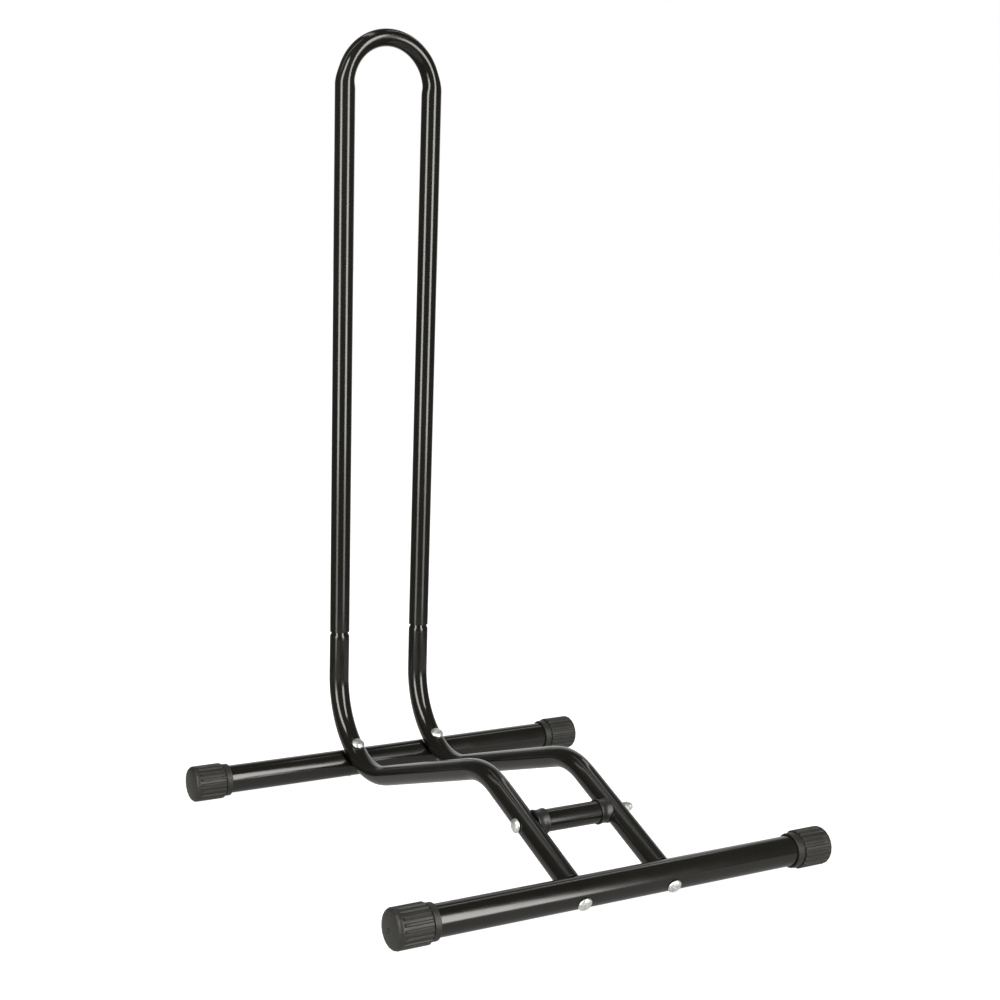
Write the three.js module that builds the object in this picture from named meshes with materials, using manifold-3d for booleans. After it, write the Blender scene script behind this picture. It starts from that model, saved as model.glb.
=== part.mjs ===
// Floor stand that holds one bicycle wheel upright: two bent tubular rails between a front and a
// rear cross tube, an upper hoop that plugs onto the rails, a spacer and the bolts that join them.
// Millimetres, +Z up, +X along the cross tubes, +Y from the front tube towards the hoop.
import * as THREE from "three";
import { mergeVertices } from "three/addons/utils/BufferGeometryUtils.js";
import Module from "manifold-3d";

// ---- driving dimensions -------------------------------------------------------------------------
const CAP_RADIUS = 19.75; // rubber cap, over its ribs; the caps are what the stand rests on
const HALF_LENGTH = 255; // middle of the stand to the end of a cap
const CROSS_RADIUS = 15.5; // front and rear cross tubes
const CROSS_WALL = 1.5;
const CROSS_SPACING = 472; // front tube axis to rear tube axis
const ROD_RADIUS = 11.4; // rails and hoop
const ROD_WALL = 1.5;
const RAIL_X = 52.5; // rail axes either side of the middle
const LEG_SETBACK = 508; // front tube axis to the hoop legs
const RUN_SLOPE = THREE.MathUtils.degToRad(23.5); // front run, rising from the front tube
const FALL_SLOPE = THREE.MathUtils.degToRad(17.7); // middle run, falling towards the rear
const HUMP_RADIUS = 75;
const HUMP_DISTANCE = 188.8; // front tube axis to the corner of the hump, along the front run
const HEEL_RADIUS = 93; // the long bend from the middle run up into the legs
const JOINT_Z = 169; // where the hoop ends meet the rails
const NECK_LENGTH = 6; // taper just under the joint
const SPIGOT_LENGTH = 50; // thinner rail end hidden in the hoop
const FIT_GAP = 0.3; // clearance between neighbouring pieces
const HOOP_TOP = 853; // top of the hoop
const CROWN_X = 54.7; // half spacing of the hoop legs at the crown; they spread a little upwards
const CROWN_FLATTEN = 0.13; // how much the crown is squeezed across the bend
const SPACER_DISTANCE = 100.4; // front tube axis to the spacer bolt, along the front run
const SPACER_RADIUS = 11.4;
const SADDLE_RADIUS = 13;
const BOLT_RADIUS = 3; // M6
const BOLT_HOLE = BOLT_RADIUS + FIT_GAP;
const NECK_HALF = 3.1; // half the square neck of a carriage bolt
// Pressed seats of the cross tubes: distance of the flat from the tube axis, how far the flat
// reaches along the tube either side of a rail axis, and where it has faded out.
const FRONT_SEAT = { distance: 12.2, flat: 12, reach: 22 };
const REAR_SEAT = { distance: 6.3, flat: 0, reach: 20 };

const AXIS_Z = CAP_RADIUS;
const FRONT_Y = -(LEG_SETBACK + ROD_RADIUS - CAP_RADIUS) / 2;
const REAR_Y = FRONT_Y + CROSS_SPACING;
const LEG_Y = FRONT_Y + LEG_SETBACK;
const SPIGOT_RADIUS = ROD_RADIUS - ROD_WALL - 1.5 * FIT_GAP;
const neckHole = Math.SQRT2 * (NECK_HALF + FIT_GAP);

const ROD_SIDES = 18;
const CROSS_SIDES = 20;
const SIDES = [["left", -1], ["right", 1]];

const wasm = await Module();
wasm.setup();

// ---- solids -------------------------------------------------------------------------------------
// A three.js geometry as a manifold solid.
function solid(geometry) {
  const bare = geometry.clone();
  bare.deleteAttribute("normal");
  bare.deleteAttribute("uv");
  const merged = mergeVertices(bare, 1e-4);
  return new wasm.Manifold(
    new wasm.Mesh({
      numProp: 3,
      vertProperties: new Float32Array(merged.attributes.position.array),
      triVerts: new Uint32Array(merged.index.array),
    }),
  );
}

// A manifold solid as a three.js geometry.
function geometryOf(manifold) {
  const mesh = manifold.getMesh();
  const positions = new Float32Array(mesh.numVert * 3);
  for (let i = 0; i < mesh.numVert; i++) {
    for (let k = 0; k < 3; k++) {
      positions[3 * i + k] = mesh.vertProperties[mesh.numProp * i + k];
    }
  }
  const geometry = new THREE.BufferGeometry();
  geometry.setAttribute("position", new THREE.BufferAttribute(positions, 3));
  geometry.setIndex(new THREE.BufferAttribute(new Uint32Array(mesh.triVerts), 1));
  const flat = geometry.toNonIndexed();
  flat.computeVertexNormals();
  return flat;
}

// ---- tubes --------------------------------------------------------------------------------------
// A plane path with its cross-sections exactly at the given stations.
class StationPath extends THREE.Curve {
  constructor(stations, planeNormal) {
    super();
    this.stations = stations;
    this.planeNormal = planeNormal;
  }

  getPoint(t, target = new THREE.Vector3()) {
    const last = this.stations.length - 1;
    const index = Math.min(Math.floor(t * last), last - 1);
    const from = this.stations[index].point;
    const to = this.stations[index + 1].point;
    return target.lerpVectors(from, to, t * last - index);
  }

  getSpacedPoints() {
    return this.stations.map((station) => station.point.clone());
  }

  computeFrenetFrames() {
    const tangents = this.stations.map((station) => station.tangent.clone());
    const normals = tangents.map(() => this.planeNormal.clone());
    const binormals = tangents.map((t) => new THREE.Vector3().crossVectors(t, this.planeNormal));
    return { tangents, normals, binormals };
  }
}

// Corners of a regular polygon on a circle.
function circle(radius, sides) {
  const corners = [];
  for (let i = 0; i < sides; i++) {
    const angle = (2 * Math.PI * i) / sides;
    corners.push(new THREE.Vector2(radius * Math.cos(angle), radius * Math.sin(angle)));
  }
  return corners;
}

// A hollow tube, open at both ends, along the stations.
function tube(stations, planeNormal, radius, wall, sides) {
  const shape = new THREE.Shape(circle(radius, sides));
  shape.holes.push(new THREE.Path(circle(radius - wall, sides).reverse()));
  return new THREE.ExtrudeGeometry(shape, {
    steps: stations.length - 1,
    extrudePath: new StationPath(stations, planeNormal),
  });
}

// Walks through a plane, forwards or round a bend, and notes a station at each cross-section.
class Walk {
  constructor(x, z, heading, place) {
    this.x = x;
    this.z = z;
    this.heading = heading;
    this.place = place;
    this.stations = [];
    this.note();
  }

  note() {
    const ahead = [Math.cos(this.heading), Math.sin(this.heading)];
    const origin = this.place(0, 0);
    this.stations.push({
      point: this.place(this.x, this.z),
      tangent: this.place(ahead[0], ahead[1]).sub(origin).normalize(),
    });
  }

  forward(length) {
    this.x += length * Math.cos(this.heading);
    this.z += length * Math.sin(this.heading);
    this.note();
    return this;
  }

  // Positive angles turn upwards from the +x heading.
  bend(radius, angle, steps) {
    const side = Math.sign(angle);
    const centreX = this.x - side * radius * Math.sin(this.heading);
    const centreZ = this.z + side * radius * Math.cos(this.heading);
    for (let i = 0; i < steps; i++) {
      this.heading += angle / steps;
      this.x = centreX + side * radius * Math.sin(this.heading);
      this.z = centreZ - side * radius * Math.cos(this.heading);
      this.note();
    }
    return this;
  }
}

// Moves each vertex of a geometry by a function that changes the given point.
function deform(geometry, change) {
  const position = geometry.attributes.position;
  const point = new THREE.Vector3();
  for (let i = 0; i < position.count; i++) {
    point.fromBufferAttribute(position, i);
    change(point);
    position.setXYZ(i, point.x, point.y, point.z);
  }
  return geometry;
}

// ---- turned pieces ------------------------------------------------------------------------------
// A body of revolution about +X from [along, radius] pairs that start and end on the axis.
function turned(profile, sides, phase = 0) {
  const points = profile.map(([along, radius]) => new THREE.Vector2(radius, along));
  const geometry = new THREE.LatheGeometry(points, sides, phase);
  // Lathe runs along +Y; this turns it onto +X.
  return geometry.rotateZ(-Math.PI / 2);
}

// A solid rod about +X.
function rod(from, to, radius, sides) {
  const profile = [[from, 0], [from, radius], [to, radius], [to, 0]];
  return turned(profile, sides);
}

// A geometry built about +X, turned to the given direction in the YZ plane and put in place.
function aim(geometry, x, y, z, direction) {
  const turn = new THREE.Quaternion().setFromUnitVectors(new THREE.Vector3(1, 0, 0), direction);
  return geometry.applyQuaternion(turn).translate(x, y, z);
}

const alongRun = new THREE.Vector3(0, Math.cos(RUN_SLOPE), Math.sin(RUN_SLOPE));

// A point on the front run, measured from the front tube axis.
function onRun(distance) {
  return { y: FRONT_Y + distance * alongRun.y, z: AXIS_Z + distance * alongRun.z };
}

// ---- rails --------------------------------------------------------------------------------------
const RAIL_START = FRONT_SEAT.distance + FIT_GAP;
const HUMP_TURN = RUN_SLOPE + FALL_SLOPE;
const HEEL_TURN = FALL_SLOPE + Math.PI / 2;
const humpTangent = HUMP_RADIUS * Math.tan(HUMP_TURN / 2);
const heelTangent = HEEL_RADIUS * Math.tan(HEEL_TURN / 2);
const hump = onRun(HUMP_DISTANCE);
const fallLength = (LEG_Y - hump.y) / Math.cos(FALL_SLOPE) - humpTangent - heelTangent;

function railStations(x) {
  const start = onRun(RAIL_START);
  const place = (y, z) => new THREE.Vector3(x, y, z);
  const walk = new Walk(start.y, start.z, RUN_SLOPE, place);
  walk.forward(HUMP_DISTANCE - RAIL_START - humpTangent);
  walk.bend(HUMP_RADIUS, -HUMP_TURN, 5);
  walk.forward(fallLength);
  walk.bend(HEEL_RADIUS, HEEL_TURN, 12);
  walk.forward(JOINT_Z - NECK_LENGTH - walk.z);
  walk.forward(NECK_LENGTH);
  walk.forward(SPIGOT_LENGTH);
  return walk.stations;
}

// The point of a rail nearest the rear tube axis, and the way out from that axis to it.
function nearestToRearAxis() {
  const fall = humpTangent + fallLength;
  const fallEndZ = hump.z - fall * Math.sin(FALL_SLOPE);
  const centreY = LEG_Y - HEEL_RADIUS;
  const centreZ = fallEndZ + HEEL_RADIUS * Math.cos(FALL_SLOPE);
  const out = new THREE.Vector3(0, centreY - REAR_Y, centreZ - AXIS_Z);
  const distance = out.length() - HEEL_RADIUS;
  return { distance, out: out.normalize() };
}
const rearSeat = nearestToRearAxis();
const rearInward = rearSeat.out.clone().negate();

const swage = (point) => {
  if (point.z < JOINT_Z - NECK_LENGTH + 0.01) return;
  const centreX = Math.sign(point.x) * RAIL_X;
  const factor = SPIGOT_RADIUS / ROD_RADIUS;
  point.x = centreX + (point.x - centreX) * factor;
  point.y = LEG_Y + (point.y - LEG_Y) * factor;
};

function rail(side) {
  const x = side * RAIL_X;
  const body = deform(
    tube(railStations(x), new THREE.Vector3(1, 0, 0), ROD_RADIUS, ROD_WALL, ROD_SIDES),
    swage,
  );
  const spacer = onRun(SPACER_DISTANCE);
  const spacerHole = rod(-20, 20, BOLT_HOLE, 12).translate(x, spacer.y, spacer.z);
  const rearHole = aim(rod(0, 40, BOLT_HOLE, 12), x, REAR_Y, AXIS_Z, rearSeat.out);
  // The square neck of the rear bolt sits in the upper wall of the rail.
  const upper = -rearSeat.distance;
  const rearNeck = aim(rod(upper - 20, upper - 5, neckHole, 4), x, REAR_Y, AXIS_Z, rearInward);
  const drilled = solid(body)
    .subtract(solid(spacerHole))
    .subtract(solid(rearHole))
    .subtract(solid(rearNeck));
  if (side > 0) return drilled;
  // The square neck of the spacer bolt sits in the left rail.
  const squareHole = rod(-20, -5, neckHole, 4).translate(x, spacer.y, spacer.z);
  return drilled.subtract(solid(squareHole));
}

// ---- hoop ---------------------------------------------------------------------------------------
const CROWN_CENTRE_Z = HOOP_TOP - CROWN_X - ROD_RADIUS * (1 - CROWN_FLATTEN);
const LEG_SPREAD = Math.atan2(CROWN_X - RAIL_X, CROWN_CENTRE_Z - JOINT_Z);
const CROWN_RADIUS = CROWN_X / Math.cos(LEG_SPREAD);
const CROWN_Z = CROWN_CENTRE_Z - CROWN_RADIUS * Math.sin(LEG_SPREAD);

function hoop() {
  const place = (x, z) => new THREE.Vector3(x, LEG_Y, z);
  const legLength = (CROWN_Z - JOINT_Z) / Math.cos(LEG_SPREAD);
  const walk = new Walk(RAIL_X, JOINT_Z, Math.PI / 2 - LEG_SPREAD, place);
  walk.forward(legLength);
  walk.bend(CROWN_RADIUS, Math.PI + 2 * LEG_SPREAD, 15);
  walk.forward(legLength);
  const planeNormal = new THREE.Vector3(0, 1, 0);
  const body = tube(walk.stations, planeNormal, ROD_RADIUS, ROD_WALL, ROD_SIDES);
  const squeeze = (point) => {
    const rise = point.z - CROWN_CENTRE_Z;
    if (rise < 0.01) return;
    const reach = Math.hypot(point.x, rise);
    const angle = Math.atan2(rise, Math.abs(point.x));
    const blend = THREE.MathUtils.smoothstep(angle, 0, Math.PI / 9);
    const squeezed = CROWN_RADIUS + (reach - CROWN_RADIUS) * (1 - CROWN_FLATTEN * blend);
    point.x *= squeezed / reach;
    point.z = CROWN_CENTRE_Z + (rise * squeezed) / reach;
  };
  return solid(deform(body, squeeze));
}

// ---- cross tubes --------------------------------------------------------------------------------
const CAP_LENGTH = 46.7;
const CAP_BORE_DEPTH = 39.5;
const TUBE_HALF = HALF_LENGTH - CAP_LENGTH + CAP_BORE_DEPTH - 0.5;
const FADE_STEPS = [1, 0.7, 0.35, 0];

function crossTube(y, seatNormal, seat) {
  const fade = FADE_STEPS.map((step) => seat.flat + step * (seat.reach - seat.flat));
  const offsets = [...fade.map((offset) => -offset), 0, ...fade.reverse()];
  const around = (side) => offsets.map((offset) => side * RAIL_X + offset);
  const every = [-TUBE_HALF, ...around(-1), ...around(1), TUBE_HALF];
  const xs = [...new Set(every)].sort((a, b) => a - b);
  const stations = xs.map((x) => ({
    point: new THREE.Vector3(x, y, AXIS_Z),
    tangent: new THREE.Vector3(1, 0, 0),
  }));
  const body = tube(stations, seatNormal, CROSS_RADIUS, CROSS_WALL, CROSS_SIDES);
  const press = (point) => {
    const offset = Math.abs(Math.abs(point.x) - RAIL_X);
    if (offset > seat.reach - 0.01) return;
    const faded = Math.max(0, offset - seat.flat) / (seat.reach - seat.flat);
    const bell = 0.5 + 0.5 * Math.cos(Math.PI * faded);
    const from = new THREE.Vector3(0, point.y - y, point.z - AXIS_Z);
    const inner = from.length() < CROSS_RADIUS - CROSS_WALL / 2;
    const out = from.dot(seatNormal);
    const surface = CROSS_RADIUS - bell * (CROSS_RADIUS - seat.distance);
    const limit = surface - (inner ? CROSS_WALL : 0);
    if (out > limit) point.addScaledVector(seatNormal, 0.97 * (limit - out));
  };
  return solid(deform(body, press));
}

const headDistance = CROSS_RADIUS + FIT_GAP;

function frontTube() {
  let body = crossTube(FRONT_Y, alongRun, FRONT_SEAT);
  for (const [, side] of SIDES) {
    const neck = aim(rod(-20, -5, neckHole, 4), side * RAIL_X, FRONT_Y, AXIS_Z, alongRun);
    const hole = aim(rod(0, 20, BOLT_HOLE, 12), side * RAIL_X, FRONT_Y, AXIS_Z, alongRun);
    body = body.subtract(solid(neck)).subtract(solid(hole));
  }
  return body;
}

function rearTube() {
  let body = crossTube(REAR_Y, rearSeat.out, REAR_SEAT);
  for (const [, side] of SIDES) {
    const hole = aim(rod(-20, 20, BOLT_HOLE, 12), side * RAIL_X, REAR_Y, AXIS_Z, rearSeat.out);
    body = body.subtract(solid(hole));
  }
  return body;
}

// ---- end caps -----------------------------------------------------------------------------------
const CAP_RIBS = 20;
const RIB_START = 8.5; // from the mouth of the cap
const RIB_END = 39.7;
const COLLAR_RADIUS = 17.9;
const GROOVE_WIDTH = 1.5;
const GROOVE_DEPTH = 0.9;

// A cap about +X with its mouth at 0 and its domed end at CAP_LENGTH.
function cap() {
  const flatToCorner = 1 / Math.cos(Math.PI / CAP_RIBS);
  const barrel = [
    [RIB_START, 0],
    [RIB_START, CAP_RADIUS],
    [RIB_END + 1.2, CAP_RADIUS],
    [42.8, CAP_RADIUS - 0.8],
    [44.2, CAP_RADIUS - 2.3],
    [45, CAP_RADIUS - 4.8],
    [46.1, CAP_RADIUS - 10.5],
    [CAP_LENGTH, 3],
    [CAP_LENGTH, 0],
  ].map(([along, radius]) => [along, radius * flatToCorner]);
  const collar = [
    [0, 0],
    [0, COLLAR_RADIUS - 0.6],
    [0.8, COLLAR_RADIUS],
    [6.9, COLLAR_RADIUS],
    [7.3, COLLAR_RADIUS - 0.8],
    [RIB_START + 1, COLLAR_RADIUS - 0.8],
    [RIB_START + 1, 0],
  ];
  const boreRadius = (CROSS_RADIUS + FIT_GAP) / Math.cos(Math.PI / CROSS_SIDES);
  let body = solid(turned(barrel, CAP_RIBS, Math.PI / CAP_RIBS))
    .add(solid(turned(collar, 2 * CAP_RIBS)))
    .subtract(solid(rod(-1, CAP_BORE_DEPTH, boreRadius, CROSS_SIDES)))
    .subtract(solid(rod(CAP_BORE_DEPTH - 1, CAP_LENGTH + 1, 1.3, 8)));
  for (let i = 0; i < CAP_RIBS; i++) {
    const groove = new THREE.BoxGeometry(RIB_END - RIB_START - 1.6, GROOVE_WIDTH, 4);
    groove.translate((RIB_END + RIB_START + 1.6) / 2, 0, CAP_RADIUS * flatToCorner - GROOVE_DEPTH + 2);
    groove.rotateX(((i + 0.5) * 2 * Math.PI) / CAP_RIBS);
    body = body.subtract(solid(groove));
  }
  return body;
}

function placedCap(side, y) {
  const geometry = geometryOf(cap());
  geometry.translate(HALF_LENGTH - CAP_LENGTH, 0, 0);
  if (side < 0) geometry.rotateZ(Math.PI);
  return geometry.translate(0, y, AXIS_Z);
}

// ---- spacer -------------------------------------------------------------------------------------
const SADDLE_FLOOR = 1.6;
const SPACER_HALF = RAIL_X - ROD_RADIUS - FIT_GAP - SADDLE_FLOOR - FIT_GAP;
const SADDLE_INNER = RAIL_X - ROD_RADIUS - 10;
const spacerAt = onRun(SPACER_DISTANCE);

function spacerTube() {
  const outer = rod(-SPACER_HALF, SPACER_HALF, SPACER_RADIUS, ROD_SIDES);
  const bore = rod(-60, 60, SPACER_RADIUS - ROD_WALL, ROD_SIDES);
  return solid(outer).subtract(solid(bore));
}

// A plastic saddle about +X for the right rail; the left one is its mirror image.
function saddle() {
  const outer = [
    [SADDLE_INNER, 0],
    [SADDLE_INNER, SADDLE_RADIUS - 0.5],
    [SADDLE_INNER + 0.5, SADDLE_RADIUS],
    [RAIL_X - 8, SADDLE_RADIUS],
    [RAIL_X - 8, 0],
  ];
  const sleeve = (SPACER_RADIUS + FIT_GAP) / Math.cos(Math.PI / ROD_SIDES);
  const railPath = rod(-30, 30, (ROD_RADIUS + FIT_GAP) / Math.cos(Math.PI / 24), 24);
  return solid(turned(outer, 24))
    .subtract(solid(rod(0, SPACER_HALF + FIT_GAP, sleeve, ROD_SIDES)))
    .subtract(solid(rod(0, 60, BOLT_HOLE, 12)))
    .subtract(solid(aim(railPath, RAIL_X, 0, 0, alongRun)));
}

// ---- fasteners ----------------------------------------------------------------------------------
// A carriage bolt about +X: the underside of its mushroom head at 0, its shank towards +X.
function carriageBolt(shank) {
  const profile = [
    [-3.8, 0],
    [-3.6, 2.6],
    [-2.9, 4.9],
    [-1.7, 6.6],
    [-0.5, 7.4],
    [0, 7.3],
    [0, BOLT_RADIUS],
    [shank - 0.6, BOLT_RADIUS],
    [shank, BOLT_RADIUS - 0.6],
    [shank, 0],
  ];
  const neck = rod(-1, 1.7, Math.SQRT2 * NECK_HALF, 4);
  return solid(turned(profile, 18)).add(solid(neck));
}

const NUT_LENGTH = 11.5;
const NUT_BORE = 8.5;

// An acorn nut about +X: its seat at 0, its dome towards +X.
function acornNut() {
  const hexCorner = 5 / Math.cos(Math.PI / 6);
  const hex = rod(0, 5.5, hexCorner, 6);
  const chamfer = turned([[0, 0], [0, 5.1], [0.5, 5.75], [4.9, 5.75], [5.5, 5], [5.5, 0]], 12);
  const dome = [
    [4, 0],
    [4, 4.7],
    [7, 4.7],
    [8.9, 4.1],
    [10.3, 3],
    [11.2, 1.6],
    [NUT_LENGTH, 0],
  ];
  return solid(hex)
    .intersect(solid(chamfer))
    .add(solid(turned(dome, 18)))
    .subtract(solid(rod(-1, NUT_BORE, BOLT_HOLE, 12)));
}

// A thin hexagon nut about +X: its seat at 0.
const THIN_NUT_LENGTH = 3.2;
function thinNut() {
  const hexCorner = 5 / Math.cos(Math.PI / 6);
  const faces = [[0, 0], [0, 5.1], [0.4, 5.75], [THIN_NUT_LENGTH - 0.4, 5.75]];
  const chamfer = turned([...faces, [THIN_NUT_LENGTH, 5.1], [THIN_NUT_LENGTH, 0]], 12);
  return solid(rod(0, THIN_NUT_LENGTH, hexCorner, 6))
    .intersect(solid(chamfer))
    .subtract(solid(rod(-1, THIN_NUT_LENGTH + 1, BOLT_HOLE, 12)));
}

// A threaded plug in the front end of a rail, about +X.
const INSERT_FROM = 14.5;
const INSERT_TO = 29;
function railEndInsert() {
  const radius = ROD_RADIUS - ROD_WALL - 2 * FIT_GAP;
  return solid(rod(INSERT_FROM, INSERT_TO, radius, ROD_SIDES)).subtract(
    solid(rod(INSERT_FROM - 1, INSERT_TO + 1, BOLT_HOLE, 12)),
  );
}

// ---- the stand ----------------------------------------------------------------------------------
const LOOKS = {
  paint: { color: 0x1d1d1b, roughness: 0.28, metalness: 0.1 },
  rubber: { color: 0x2e2f2c, roughness: 0.8, metalness: 0 },
  plastic: { color: 0x1b1c1a, roughness: 0.5, metalness: 0 },
  zinc: { color: 0xc9ccce, roughness: 0.3, metalness: 1 },
};

const stand = new THREE.Group();
stand.name = "bike_wheel_stand";

function put(name, geometry, look) {
  const mesh = new THREE.Mesh(geometry, new THREE.MeshStandardMaterial(LOOKS[look]));
  mesh.name = name;
  stand.add(mesh);
}

put("upper_hoop", geometryOf(hoop()), "paint");
put("front_cross_tube", geometryOf(frontTube()), "paint");
put("rear_cross_tube", geometryOf(rearTube()), "paint");
put("spacer_tube", geometryOf(spacerTube()).translate(0, spacerAt.y, spacerAt.z), "paint");

const spacerReach = RAIL_X + ROD_RADIUS + FIT_GAP;
const rearHeadAt = rearSeat.distance + ROD_RADIUS + FIT_GAP;

for (const [word, side] of SIDES) {
  const x = side * RAIL_X;
  put(`${word}_rail`, geometryOf(rail(side)), "paint");

  const saddleBody = geometryOf(saddle());
  if (side < 0) {
    // Mirrored by a half turn about the direction square to both the spacer and the rail.
    const square = new THREE.Vector3(0, -alongRun.z, alongRun.y);
    saddleBody.applyQuaternion(new THREE.Quaternion().setFromAxisAngle(square, Math.PI));
  }
  put(`spacer_saddle_${word}`, saddleBody.translate(0, spacerAt.y, spacerAt.z), "plastic");

  put(`front_cap_${word}`, placedCap(side, FRONT_Y), "rubber");
  put(`rear_cap_${word}`, placedCap(side, REAR_Y), "rubber");

  const frontShank = headDistance + INSERT_TO - 2;
  const frontBolt = geometryOf(carriageBolt(frontShank)).translate(-headDistance, 0, 0);
  put(`front_bolt_${word}`, aim(frontBolt, x, FRONT_Y, AXIS_Z, alongRun), "zinc");
  const insert = geometryOf(railEndInsert());
  put(`rail_end_insert_${word}`, aim(insert, x, FRONT_Y, AXIS_Z, alongRun), "zinc");

  // The rear bolts run from the upper side of the rail down through the rear tube.
  const rearShank = rearHeadAt + headDistance + THIN_NUT_LENGTH;
  const rearBolt = geometryOf(carriageBolt(rearShank)).translate(-rearHeadAt, 0, 0);
  put(`rear_bolt_${word}`, aim(rearBolt, x, REAR_Y, AXIS_Z, rearInward), "zinc");
  const rearNut = geometryOf(thinNut()).translate(headDistance, 0, 0);
  put(`rear_nut_${word}`, aim(rearNut, x, REAR_Y, AXIS_Z, rearInward), "zinc");
}

const spacerShank = 2 * spacerReach + NUT_BORE - 1;
const spacerBolt = geometryOf(carriageBolt(spacerShank));
put("spacer_bolt", spacerBolt.translate(-spacerReach, spacerAt.y, spacerAt.z), "zinc");
const spacerNut = geometryOf(acornNut());
put("spacer_cap_nut", spacerNut.translate(spacerReach, spacerAt.y, spacerAt.z), "zinc");

export default stand;
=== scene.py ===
"""Bicycle wheel floor stand: fine pieces, finishes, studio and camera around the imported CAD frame.

Lengths in the modelling part are millimetres in the CAD frame and become metres when a mesh is made.
+X runs along the cross tubes, +Y from the front tube towards the hoop, +Z up.
"""

import math

import bpy
import numpy as np
from mathutils import Matrix, Vector


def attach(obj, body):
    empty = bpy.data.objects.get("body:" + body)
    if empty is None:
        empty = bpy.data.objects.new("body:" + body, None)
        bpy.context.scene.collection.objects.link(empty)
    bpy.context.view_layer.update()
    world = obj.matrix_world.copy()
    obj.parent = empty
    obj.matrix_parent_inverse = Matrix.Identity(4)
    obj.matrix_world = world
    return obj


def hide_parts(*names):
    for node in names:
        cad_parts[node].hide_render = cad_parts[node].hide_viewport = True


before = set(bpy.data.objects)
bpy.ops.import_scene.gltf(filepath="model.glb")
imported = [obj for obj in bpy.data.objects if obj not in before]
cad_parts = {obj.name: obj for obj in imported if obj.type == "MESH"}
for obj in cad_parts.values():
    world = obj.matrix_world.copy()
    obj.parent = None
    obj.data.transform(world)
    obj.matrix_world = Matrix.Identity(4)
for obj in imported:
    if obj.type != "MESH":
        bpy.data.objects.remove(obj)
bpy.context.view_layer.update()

MM = 0.001

# ---- dimensions of the stand --------------------------------------------------------------------
CAP_RADIUS = 19.75  # over the flats of the ribs
HALF_LENGTH = 255.0
CROSS_RADIUS = 15.5
CROSS_WALL = 1.5
CROSS_SPACING = 472.0
ROD_RADIUS = 11.4
ROD_WALL = 1.5
RAIL_X = 52.5
LEG_SETBACK = 508.0
RUN_SLOPE = math.radians(23.5)
FALL_SLOPE = math.radians(17.7)
HUMP_RADIUS = 75.0
HUMP_DISTANCE = 188.8
HEEL_RADIUS = 93.0
JOINT_Z = 169.0
NECK_LENGTH = 6.0
SPIGOT_LENGTH = 50.0
FIT_GAP = 0.3
HOOP_TOP = 853.0
CROWN_X = 54.7  # half spacing of the hoop legs at the crown
CROWN_FLATTEN = 0.13
SPACER_DISTANCE = 100.4
SPACER_RADIUS = 11.4
SADDLE_RADIUS = 13.0
BOLT_RADIUS = 3.0
BOLT_HOLE = BOLT_RADIUS + FIT_GAP
NECK_HALF = 3.1
FRONT_SEAT = {"distance": 12.2, "flat": 12.0, "reach": 22.0}
REAR_SEAT = {"distance": 6.3, "flat": 0.0, "reach": 20.0}

AXIS_Z = CAP_RADIUS
FRONT_Y = -(LEG_SETBACK + ROD_RADIUS - CAP_RADIUS) / 2
REAR_Y = FRONT_Y + CROSS_SPACING
LEG_Y = FRONT_Y + LEG_SETBACK
SPIGOT_RADIUS = ROD_RADIUS - ROD_WALL - 1.5 * FIT_GAP
CROWN_CENTRE_Z = HOOP_TOP - CROWN_X - ROD_RADIUS * (1 - CROWN_FLATTEN)
LEG_SPREAD = math.atan2(CROWN_X - RAIL_X, CROWN_CENTRE_Z - JOINT_Z)
CROWN_RADIUS = CROWN_X / math.cos(LEG_SPREAD)
CROWN_Z = CROWN_CENTRE_Z - CROWN_RADIUS * math.sin(LEG_SPREAD)
RAIL_START = FRONT_SEAT["distance"] + FIT_GAP
ALONG_RUN = np.array([0.0, math.cos(RUN_SLOPE), math.sin(RUN_SLOPE)])

SIDES = (("left", -1), ("right", 1))
ROD_SIDES = 64
CROSS_SIDES = 96
TURNED_SIDES = 48
LIP = 0.35  # rounding of sawn tube ends


# ---- meshes -------------------------------------------------------------------------------------
def ease(t):
    t = np.clip(t, 0.0, 1.0)
    return t * t * (3 - 2 * t)


def between(s, start, end, blend):
    """1 from start to end and 0 elsewhere, eased over the blend length about both."""
    return ease((s - start) / blend + 0.5) * ease((end - s) / blend + 0.5)


def skin(rows, closed=False):
    """Points and faces over rows of ring points; a row of one point is a pole."""
    starts, points = [], []
    for row in rows:
        starts.append(len(points))
        points.extend(row)
    faces = []
    pairs = [(i, i + 1) for i in range(len(rows) - 1)]
    if closed:
        pairs.append((len(rows) - 1, 0))
    for a, b in pairs:
        sa, sb, na, nb = starts[a], starts[b], len(rows[a]), len(rows[b])
        count = max(na, nb)
        for j in range(count):
            k = (j + 1) % count
            if na == 1:
                faces.append((sa, sb + k, sb + j))
            elif nb == 1:
                faces.append((sa + j, sa + k, sb))
            else:
                faces.append((sa + j, sa + k, sb + k, sb + j))
    return np.array(points, float), faces


def piece(node, points, faces, finish, body="stand", sharp=40):
    """A mesh that stands for one CAD node, rides on its body and takes its finish."""
    name = "fine_" + node
    mesh = bpy.data.meshes.new(name)
    mesh.from_pydata((points * MM).tolist(), [], faces)
    mesh.shade_smooth()
    mesh.set_sharp_from_angle(angle=math.radians(sharp))
    mesh.materials.append(finish["material"])
    obj = bpy.data.objects.new(name, mesh)
    bpy.context.scene.collection.objects.link(obj)
    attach(obj, body)
    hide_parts(node)


def turn_to(points, direction):
    """Points built about +X, turned so that +X points in a direction in the YZ plane."""
    turn = Vector((1, 0, 0)).rotation_difference(Vector(direction)).to_matrix()
    return points @ np.array(turn).T


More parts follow.
